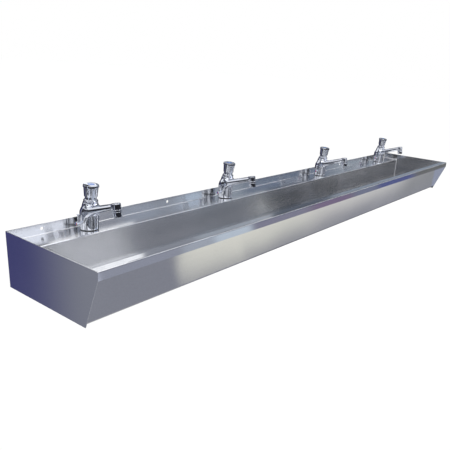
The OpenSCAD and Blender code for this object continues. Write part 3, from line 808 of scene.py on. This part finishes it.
def weld_route():
    """The sheet's inner face, from the upstand's top edge to the end of the bend under the front wall."""
    outline = offset_sheet(PAN_PATH, PAN_RADII, SHEET)
    inner = outline[:len(outline) // 2]
    last = max(i for i, p in enumerate(inner) if p.y < LEDGE_Z and p.x < FRONT_TOP)
    return inner[:last + 1]


def weld_section():
    """As (distance from the panel, distance from the sheet)."""
    section = [(0, -WELD_ROOT)]
    for k in range(WELD_STEPS + 1):
        w = math.radians(90) * k / WELD_STEPS
        section.append((WELD * (1 - math.cos(w)), WELD * (1 - math.sin(w))))
    section.append((WELD, -WELD_ROOT))
    return section


def make_weld(side, x0, inward):
    """A weld along the face of the panel at x0. The bowl is inward, 1 or -1, from there."""
    route = weld_route()
    rings = []
    for i, p in enumerate(route):
        along = (route[min(i + 1, len(route) - 1)] - route[max(i - 1, 0)]).normalized()
        off = Vector((-along.y, along.x))
        ring = []
        for from_panel, from_sheet in weld_section():
            q = p + off * from_sheet
            ring.append(Vector((x0 + inward * from_panel, -q.x, q.y)) * MM)
        rings.append(ring)
    name = f"{side}_weld"
    make_object(name, tube(name, rings), BRIGHT, "trough", (), 50)


make_pan()
make_panel("left", -TROUGH_LENGTH / 2)
make_panel("right", TROUGH_LENGTH / 2 - SHEET)
make_weld("left", SHEET - TROUGH_LENGTH / 2, 1)
make_weld("right", TROUGH_LENGTH / 2 - SHEET, -1)
for place in ("left", "centre", "right"):
    refined(f"support_{place}", STEEL, 0.5)


# Tap casting, in millimetres: heights are above the ledge, and u is ahead of the foot's middle
REACH = 118
SPOUT_TOP = 101
SPOUT_RISE = math.radians(17)
SPOUT_END_R = 13.5
SPOUT_EDGE = 12.0
FOOT_R = 25
FOOT_TOP = 60
SHELL_R = 26
BONNET_SEAT = 82
NOZZLE_LEAN = math.radians(10)
NOZZLE_END_R = 13
NOZZLE_END_H = 18
# The shell's height along the button's axis, and its radius there
SHELL_HEIGHTS = [10, 37, 51, 66, 76, 82]
SHELL_RADII = [31.5, 28.8, 27.4, 25.0, 23.0, 21.8]
# The lower edge of the shell and the spout, as (ahead of the foot's middle, height above the ledge)
UNDER_EDGE = [(5, -6), (5, 8), (5.4, 16), (7, 25), (10, 33.5), (14.5, 41.5), (20, 48), (27, 53), (38, 58),
              (60, 66.5), (85, 76), (109, 84), (150, 98)]
# The underside slopes inwards from that edge, this steeply and over this width
KEEL_SLOPE = 0.7
KEEL_WIDTH = 7
SIDE_OUTLINE = UNDER_EDGE + [(150, 160), (-60, 160), (-60, -6)]


def smooth_min(a, b, k):
    """The smaller of two distances, with the crease between them rounded over a width of k."""
    h = np.clip(0.5 + 0.5 * (b - a) / k, 0, 1)
    return b * (1 - h) + a * h - k * h * (1 - h)


def smooth_max(a, b, k):
    return -smooth_min(-a, -b, k)


def polygon_distance(points, px, py):
    """Signed distance to a closed polygon, negative inside."""
    best = np.full(px.shape, np.inf)
    inside = np.zeros(px.shape, bool)
    for (x0, y0), (x1, y1) in zip(points, points[1:] + points[:1]):
        ex, ey = x1 - x0, y1 - y0
        wx, wy = px - x0, py - y0
        t = np.clip((wx * ex + wy * ey) / (ex * ex + ey * ey), 0, 1)
        best = np.minimum(best, (wx - ex * t) ** 2 + (wy - ey * t) ** 2)
        crosses = ((y0 <= py) != (y1 <= py)) & (
            px < x0 + (py - y0) * ex / np.where(abs(ey) < 1e-9, 1e-9, ey))
        inside ^= crosses
    return np.where(inside, -1, 1) * np.sqrt(best)


def shell_field(x, u, z):
    """The shell round the valve, which narrows upwards along the button's leaning axis."""
    s = u * math.sin(KNOB_LEAN) + z * math.cos(KNOB_LEAN)
    w = u * math.cos(KNOB_LEAN) - z * math.sin(KNOB_LEAN)
    side = (np.sqrt(x * x + w * w) - np.interp(s, SHELL_HEIGHTS, SHELL_RADII)) * 0.97
    shoulder = smooth_max(side, s - BONNET_SEAT, 2.0)
    return smooth_max(np.sqrt(x * x + u * u) - SHELL_R, shoulder, 4.0)


def spout_field(x, u, z):
    """The spout: tapered and round-ended in plan, with a sloping top whose edges are well rounded."""
    narrow = (SHELL_R - SPOUT_END_R) / REACH
    slant = math.sqrt(1 - narrow * narrow)
    ax = np.abs(x)
    at_foot = ax * narrow + u * slant < 0
    at_end = u * slant - REACH * slant + ax * narrow > 0
    foot_end = np.sqrt(x * x + u * u) - SHELL_R
    round_end = np.sqrt(x * x + (u - REACH) ** 2) - SPOUT_END_R
    plan = np.where(at_foot, foot_end, np.where(at_end, round_end, ax * slant + u * narrow - SHELL_R))
    top = (z - (SPOUT_TOP - (REACH - u) * math.tan(SPOUT_RISE))) * math.cos(SPOUT_RISE)
    return smooth_max(smooth_max(plan, top, SPOUT_EDGE), u - REACH, 2.0)


def nozzle_end_field(x, u, z):
    """The short round end that carries the nozzle."""
    nu = u - REACH
    nz = z - SPOUT_TOP
    down = nu * math.sin(NOZZLE_LEAN) - nz * math.cos(NOZZLE_LEAN)
    out = nu * math.cos(NOZZLE_LEAN) + nz * math.sin(NOZZLE_LEAN)
    return smooth_max(np.sqrt(x * x + out * out) - NOZZLE_END_R, np.maximum(-down, down - NOZZLE_END_H), 2.2)


def casting_field(x, u, z):
    """Signed distance, nearly, to the tap's casting above the ledge."""
    upper = smooth_min(shell_field(x, u, z), spout_field(x, u, z), 9.0)
    keel = polygon_distance(SIDE_OUTLINE, u, z) + KEEL_SLOPE * smooth_max(upper, -KEEL_WIDTH, 4.0)
    upper = smooth_max(upper, keel / math.sqrt(1 + KEEL_SLOPE ** 2), 1.5)
    upper = smooth_min(upper, nozzle_end_field(x, u, z), 2.5)
    foot = smooth_max(np.sqrt(x * x + u * u) - FOOT_R, z - FOOT_TOP, 1.0)
    return smooth_max(smooth_min(upper, foot, 0.7), 2 - z, 0.9)


CUBE = [(i, j, k) for i in (0, 1) for j in (0, 1) for k in (0, 1)]


def at_corner(grid, corner):
    """The grid's value at one corner of each of its cells."""
    return grid[tuple(slice(o, o + n - 1) for o, n in zip(corner, grid.shape))]


def crossing_points(values, cells):
    """For each cell the mean of the places where the surface crosses its edges."""
    place = np.zeros((len(cells), 3))
    hits = np.zeros(len(cells))
    where = tuple(cells.T)
    for a in CUBE:
        for axis in range(3):
            if a[axis]:
                continue
            b = tuple(1 if i == axis else v for i, v in enumerate(a))
            va, vb = at_corner(values, a)[where], at_corner(values, b)[where]
            crossing = (va < 0) != (vb < 0)
            t = np.where(crossing, va / np.where(crossing, va - vb, 1), 0)
            spot = np.array(a, float)[None, :] + t[:, None] * (np.array(b) - np.array(a))[None, :]
            place += spot * crossing[:, None]
            hits += crossing
    return cells + place / hits[:, None]


def net_faces(inside, index):
    """A quad of cells round each grid edge that the surface crosses, wound to face outwards."""
    faces = []
    for axis in range(3):
        b, c = (axis + 1) % 3, (axis + 2) % 3
        one = [slice(None)] * 3
        two = [slice(None)] * 3
        one[axis] = slice(0, -1)
        two[axis] = slice(1, None)
        spots = np.argwhere(inside[tuple(one)] != inside[tuple(two)])
        spots = spots[(spots[:, b] > 0) & (spots[:, c] > 0)
                      & (spots[:, b] < inside.shape[b] - 1) & (spots[:, c] < inside.shape[c] - 1)]
        flip = inside[tuple(one)][tuple(spots.T)]
        ring = []
        for db, dc in ((-1, -1), (0, -1), (0, 0), (-1, 0)):
            shifted = spots.copy()
            shifted[:, b] += db
            shifted[:, c] += dc
            ring.append(index[tuple(shifted.T)])
        quads = np.stack(ring, 1)
        quads[~flip] = quads[~flip][:, ::-1]
        faces.append(quads)
    return np.concatenate(faces)


def sloped(field, points, step):
    """The field and its slope at the points."""
    slope = []
    for axis in range(3):
        shift = np.zeros(3)
        shift[axis] = step
        slope.append((field(*(points + shift).T) - field(*(points - shift).T)) / (2 * step))
    return field(*points.T), np.stack(slope, 1)


def settled(field, points, cell):
    """The points moved onto the surface, by less than half a cell at a time."""
    for _ in range(5):
        value, slope = sloped(field, points, 0.04)
        size = np.maximum((slope ** 2).sum(1), 0.05)
        shift = slope * (value / size)[:, None]
        far = np.sqrt((shift ** 2).sum(1))
        points = points - shift * np.minimum(1, 0.5 * cell / np.maximum(far, 1e-9))[:, None]
    return points


def surface_net(field, low, high, cell):
    """Closed quad mesh of field = 0 as points, faces and normals, from a grid between low and high."""
    axes = [a + cell * np.arange(int(round((b - a) / cell)) + 1) for a, b in zip(low, high)]
    values = field(*np.meshgrid(*axes, indexing="ij"))
    inside = values < 0
    total = sum(at_corner(inside, corner).astype(int) for corner in CUBE)
    active = (total > 0) & (total < len(CUBE))
    cells = np.argwhere(active)
    index = np.full(active.shape, -1)
    index[active] = np.arange(len(cells))
    points = crossing_points(values, cells) * cell + np.array(low)[None, :]
    points = settled(field, points, cell)
    _, slope = sloped(field, points, 0.15)
    normals = slope / np.maximum(np.sqrt((slope ** 2).sum(1)), 1e-9)[:, None]
    return points, net_faces(inside, index), normals


def casting_mesh():
    """The casting above the ledge. u runs to the front, which is -Y."""
    points, faces, normals = surface_net(casting_field, (-30, -30, -1), (30, 136, 106), 1.0)
    to_front = np.array((1, -1, 1))
    mesh = bpy.data.meshes.new("casting")
    mesh.from_pydata((points * to_front * MM).tolist(), [], [f[::-1].tolist() for f in faces])
    mesh.update()
    mesh.shade_smooth()
    mesh.normals_split_custom_set_from_vertices((normals * to_front).tolist())
    return mesh


# Lathed tap parts. Each profile is a closed list of (radius, height along the part's axis).
THREAD_R = 16
THREAD_ROOT_R = 15.35
THREAD_TOP = -11.0
THREAD_END = -33
THREAD_PITCH = 1.5
LEVER_HEIGHT = 24
HANDLE_X = -37
BUTTON_AXIS = Matrix.Rotation(KNOB_LEAN, 4, "X")
# Down along the nozzle, from the middle of the spout's end
NOZZLE_AXIS = (Matrix.Translation((0, -REACH, SPOUT_TOP))
               @ Matrix.Rotation(math.pi - NOZZLE_LEAN, 4, "X"))
# Along the lever's spindle, to the right
SPINDLE_AXIS = Matrix.Translation((0, 0, LEVER_HEIGHT)) @ Matrix.Rotation(math.radians(90), 4, "Y")
HANDLE_AXIS = Matrix.Translation((HANDLE_X, 0, LEVER_HEIGHT))


def shank_mesh():
    """Threaded shank below the ledge."""
    profile = [(0, 2.5), (THREAD_R, 2.5), (THREAD_R, THREAD_TOP)]
    z = THREAD_TOP
    while z > THREAD_END:
        profile += [(THREAD_R, z), (THREAD_ROOT_R, z - 0.45), (THREAD_ROOT_R, z - 0.65), (THREAD_R, z - 1.1)]
        z -= THREAD_PITCH
    profile += [(15.2, -34), (0, -34)]
    return lathe("shank", profile, None, 64)


def bonnet_mesh():
    """Collar with a groove round it, and the neck that the button slides over."""
    profile = [(12, 70), (15, 70), (15, 82), (20.5, 82), (20.5, 84.2), (19.9, 84.6), (19.9, 85.2),
               (20.5, 85.6), (20.5, 88), (17.6, 89.6), (16.5, 91.5), (16.5, 123.5), (12, 123.5)]
    radii = [0, 0, 0, 0.3, 0.3, 0.1, 0.1, 0.3, 1.0, 0.8, 1.5, 0.5, 0.3]
    return lathe("bonnet", rounded(profile, radii), BUTTON_AXIS)


def button_mesh():
    """Hollow cap with a flared skirt, a rim and a recess for the blue disc."""
    profile = [(0, 100.5), (4, 100.5), (4, 130.5), (16.8, 130.5), (16.8, 99.5), (18.5, 99.5), (20.7, 126.0),
               (21.0, 126.7), (22.5, 127.1), (21.7, 133.0), (20.9, 133.6), (13.4, 134.5), (9.9, 134.5),
               (9.55, 134.3), (9.55, 133.3), (0, 133.3)]
    radii = [0, 0, 0, 0, 0.3, 0.5, 0.5, 0.4, 0.4, 0.8, 1.5, 2.0, 0.2, 0.1, 0, 0]
    return lathe("button", rounded(profile, radii), BUTTON_AXIS, 96)


def index_mesh():
    """The blue disc on the button."""
    profile = [(0, 133.3), (9.4, 133.3), (9.4, 134.0), (8.6, 134.4), (0, 134.5)]
    return lathe("index", rounded(profile, [0, 0, 0.2, 0.8, 0]), BUTTON_AXIS)


def nozzle_mesh():
    """Sleeve with a groove round it."""
    profile = [(9.5, 18.0), (12.2, 18.0), (12.5, 18.6), (12.5, 22.6), (12.1, 23.0), (12.1, 23.4),
               (12.5, 23.8), (12.2, 38.3), (11.4, 39.0), (9.9, 39.0), (9.5, 38.6)]
    radii = [0, 0.2, 0.3, 0.2, 0.1, 0.1, 0.2, 0.5, 0.4, 0.2, 0.2]
    return lathe("nozzle", rounded(profile, radii), NOZZLE_AXIS)


def spindle_mesh():
    profile = [(0, -45), (4.05, -45), (4.05, -46), (4.6, -46), (5.0, -45.4), (5.0, -30.5), (5.0, -13),
               (0, -13)]
    return lathe("spindle", rounded(profile, [0, 0, 0.1, 0.3, 0.4, 0, 0, 0]), SPINDLE_AXIS, 48)


def handle_mesh():
    """Waisted pin that stands on the spindle."""
    profile = [(0, 4.2), (2.75, 4.2), (2.9, 12), (3.7, 22), (4.5, 26.3), (4.2, 27), (0, 27)]
    return lathe("handle", rounded(profile, [0, 0, 8, 12, 0.5, 0.5, 0]), HANDLE_AXIS, 48)


def lever_disc_mesh():
    """The disc in the spindle's end."""
    profile = [(0, -46), (3.4, -46), (4.0, -45.6), (4.0, -45), (0, -45)]
    return lathe("lever_disc", rounded(profile, [0, 0.6, 0.2, 0, 0]), SPINDLE_AXIS, 48)


# Return spring, round the button's stem from the cartridge to the button's top
SPRING_LOW = 112.5
SPRING_HIGH = 130.5
SPRING_R = 7.4
WIRE_R = 1.0
SPRING_TURNS = 5.5
SPRING_STEPS = 220
WIRE_SIDES = 10
# The share of the wire that lies flat at each end
CLOSED_END = 0.12


def spring_mesh():
    """Round wire wound about the stem, with closed ends."""
    climb = SPRING_HIGH - SPRING_LOW - 2 * WIRE_R
    rings = []
    for i in range(SPRING_STEPS + 1):
        t = i / SPRING_STEPS
        a = 2 * math.pi * SPRING_TURNS * t
        s = SPRING_LOW + WIRE_R + climb * min(1, max(0, (t - CLOSED_END) / (1 - 2 * CLOSED_END)))
        out = Vector((math.cos(a), math.sin(a), 0))
        ring = []
        for k in range(WIRE_SIDES):
            b = 2 * math.pi * k / WIRE_SIDES
            up = Vector((0, 0, s + WIRE_R * math.sin(b)))
            ring.append((BUTTON_AXIS @ (out * (SPRING_R + WIRE_R * math.cos(b)) + up)) * MM)
        rings.append(ring)
    return tube("spring", rings)


CASTING = casting_mesh()
SHANK = shank_mesh()
# What each tap has besides its casting, its shank and its spring, all of them named by their CAD
# nodes: mesh, material, body without the tap's number, material slot
TAP_PARTS = {
    "bonnet": (bonnet_mesh(), CHROME, "trough", "chrome_plate"),
    "nozzle": (nozzle_mesh(), CHROME, "trough", "chrome_plate"),
    "button": (button_mesh(), CHROME, "button", "chrome_plate"),
    "button_index": (index_mesh(), BLUE, "button", "blue_index"),
    "lever_spindle": (spindle_mesh(), CHROME, "lever", "chrome_plate"),
    "lever_handle": (handle_mesh(), CHROME, "lever", "chrome_plate"),
    "lever_index": (lever_disc_mesh(), HOT_COLD, "lever", "blue_index"),
}
COIL = spring_mesh()


def placed(n, mesh):
    """A copy of a tap's mesh, moved to tap n."""
    copy = mesh.copy()
    copy.transform(Matrix.Translation(Vector((TAP_X[n], TAP_Y, LEDGE_Z)) * MM))
    return copy


def make_spring(n):
    """The spring round the button's stem at tap n, with a mesh of its own."""
    node = f"tap_{n}_spring"
    coil = make_object(f"{node}_piece", placed(n, COIL), SPRING, "trough", (node,), 30)
    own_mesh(coil)


def make_tap(n):
    make_object(f"tap_{n}_body_piece", placed(n, CASTING), CHROME, "trough",
                (f"tap_{n}_body",), None)
    make_object(f"tap_{n}_shank_piece", placed(n, SHANK), BRASS, "trough", (), 30)
    for part, (mesh, material, body, slot) in TAP_PARTS.items():
        body = body if body == "trough" else f"{body}_{n}"
        make_object(f"tap_{n}_{part}_piece", placed(n, mesh), material, body, (f"tap_{n}_{part}",), 30)
    make_spring(n)
    finish_node(f"tap_{n}_cartridge", VALVE)


for n in TAPS:
    make_tap(n)

# Connections and waste: node, material, slot and how wide its edges are rounded
for node, material, slot, width in (
        ("tap_back_nuts", BRASS, "brass", 0.8),
        ("tap_washers", BRIGHT, "polished_steel", 0.3),
        ("tap_gaskets", RUBBER, "rubber", 0.4),
        ("waste_back_nut", BRASS, "brass", 1.0),
        ("waste_body", CHROME, "chrome_plate", 0.5),
        ("waste_grid", BRIGHT, "polished_steel", 0.35),
        ("waste_grid_screw", BRIGHT, "polished_steel", 0.3),
        ("waste_upper_seal", RUBBER, "rubber", 0.5),
        ("waste_lower_seal", RUBBER, "rubber", 0.5)):
    refined(node, material, width)
finish_node("tap_hot_tails", COPPER)
finish_node("tap_cold_tails", COPPER)
finish_node("tap_aerators", WHITE)

bpy.context.scene.view_settings.view_transform = "Standard"


def corners(box):
    return [[round(v, 6) for v in corner] for corner in box]
